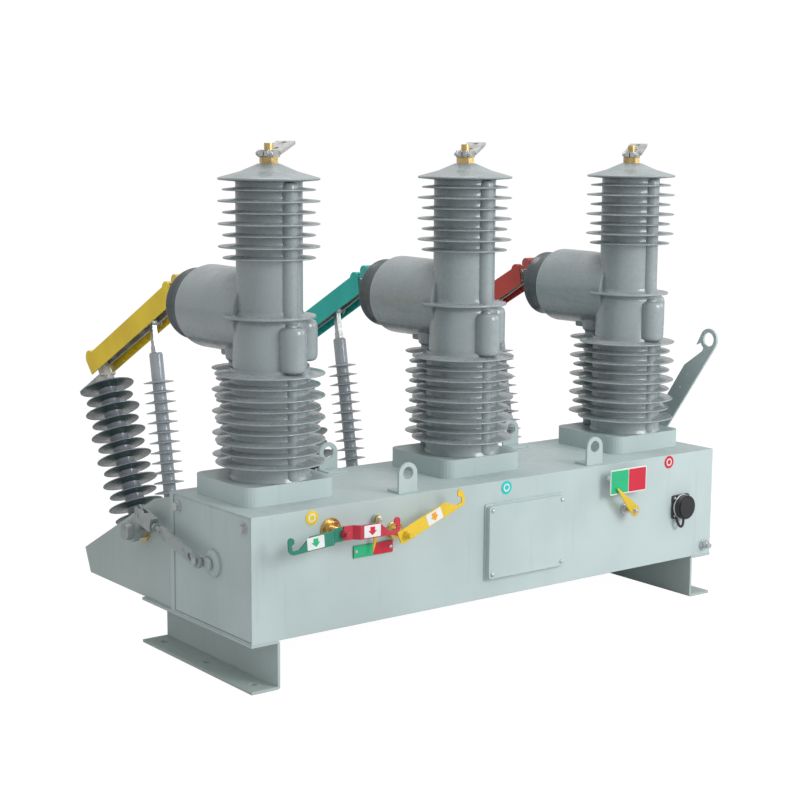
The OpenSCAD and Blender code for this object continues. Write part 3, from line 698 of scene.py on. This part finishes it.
# %% Studs inside the covers, and cotter pins
for x, phase in zip(POLES, PHASES):
    studs = Shell()
    mid = H + np.array([x / MM, 0.0, 0.0])
    for b in range(60, 400, 34):
        for s in (-1, 1):
            studs.grid(turned(soften([[0, 0], [4.6, 0], [3.8, 2.2], [0, 2.8]], 1.2, 4), 16), mid + np.array([s * 27.2, b, -22]) @ tilt, basis((-s, 0, 0)))
    studs.make("cover_studs_" + phase, cover_finish[phase], "blade_" + phase)
turns = np.linspace(0.0, np.pi * 1.6, 22)
cotters = Shell()
for x, y, z in [(-706.0, 166.0, 305.0)]:
    curl = np.stack([x + 0 * turns, y + 6 * np.cos(turns), z + 6 * np.sin(turns)], 1)
    cotters.grid(wire(curl, 1.2, 8))
cotters.make("link_cotter", zinc, "base")

# %% Socket ring and strap
ring = Shell()
ring.grid(turned(soften([[25, 0], [30.5, 0], [30.5, 3], [29.6, 4], [25, 4], [25, 0]], 0.8, 4), 64), (562, F - 8, 238), facing())
ring.make("socket_ring", zinc, "base")
a = np.linspace(0.0, np.pi, 26)
loop = np.stack([553 - 12 * np.cos(a), F - 10 - 6 * np.sin(a), 215 - 25 * np.sin(a)], 1)
strap = Shell()
strap.grid(wire(loop, 3.2, 12), (0, 0, 0))
strap.make("socket_strap", black_plastic, "base")

# %% [markdown]
# ## Floor, light and background
# A pale floor and a white surround, with one large soft lamp in front a weaker one on the right, and one overhead.
# The white comes only from what the camera, mirrors and glass see, so the lamps stay at a plain level.

# %% Stage and light
def plane(name, half, z):
    mesh = bpy.data.meshes.new(name)
    mesh.from_pydata([(-half, -half, z), (half, -half, z), (half, half, z), (-half, half, z)], [], [(0, 1, 2, 3)])
    thing = bpy.data.objects.new(name, mesh)
    bpy.context.scene.collection.objects.link(thing)
    return thing


floor = plane("floor", 14.0, -0.0005)
floor_finish = Finish("floor_finish", Base_Color=(0.62, 0.62, 0.62, 1.0), Roughness=0.9)
path = floor_finish.node("ShaderNodeLightPath", {}, {}, "Is Camera Ray")
glow = floor_finish.node("ShaderNodeEmission", {}, {"Color": (1, 1, 1, 1), "Strength": 1.14})
blend = floor_finish.node("ShaderNodeMixShader", {}, {0: path * 0.86, 1: Sock(floor_finish, floor_finish.shader.outputs[0]), 2: glow})
floor_finish.tree.links.new(blend.output, floor_finish.tree.nodes["Material Output"].inputs[0])
floor.data.materials.append(floor_finish.material)

world = bpy.data.worlds.new("surround")
bpy.context.scene.world = world
world.use_nodes = True
sky = world.node_tree
seen = sky.nodes.new("ShaderNodeLightPath")
either = sky.nodes.new("ShaderNodeMath")
either.operation = "MAXIMUM"
also = sky.nodes.new("ShaderNodeMath")
also.operation = "MAXIMUM"
sky.links.new(seen.outputs["Is Camera Ray"], either.inputs[0])
sky.links.new(seen.outputs["Is Transmission Ray"], either.inputs[1])
sky.links.new(either.outputs[0], also.inputs[0])
level = sky.nodes.new("ShaderNodeMapRange")
level.inputs["To Min"].default_value = 0.17
level.inputs["To Max"].default_value = 1.0
sky.links.new(also.outputs[0], level.inputs["Value"])
sky.links.new(level.outputs[0], sky.nodes["Background"].inputs["Strength"])
sky.nodes["Background"].inputs["Color"].default_value = (1, 1, 1, 1)


def lamp(name, at, aim, size, watts):
    data = bpy.data.lights.new(name, "AREA")
    data.shape = "DISK"
    data.size = size
    data.energy = watts
    thing = bpy.data.objects.new(name, data)
    bpy.context.scene.collection.objects.link(thing)
    back = np.array(at, float) - np.array(aim, float)
    back /= np.linalg.norm(back)
    across = np.cross([0.0, 0.0, 1.0], back)
    across /= np.linalg.norm(across)
    turn = np.eye(4)
    turn[:3, 0] = across
    turn[:3, 1] = np.cross(back, across)
    turn[:3, 2] = back
    turn[:3, 3] = at
    thing.matrix_world = Matrix(turn.tolist())
    return thing


lamp("key", (1.5, -4.2, 2.2), (0, 0, 0.45), 2.4, 112.0)
lamp("right", (3.8, -1.6, 1.8), (0, 0, 0.5), 2.0, 18.0)
lamp("top", (0.2, 0.6, 4.4), (0, 0, 0.5), 2.6, 60.0)
bpy.context.scene.view_settings.view_transform = "Standard"
print("stage and lamps ready")
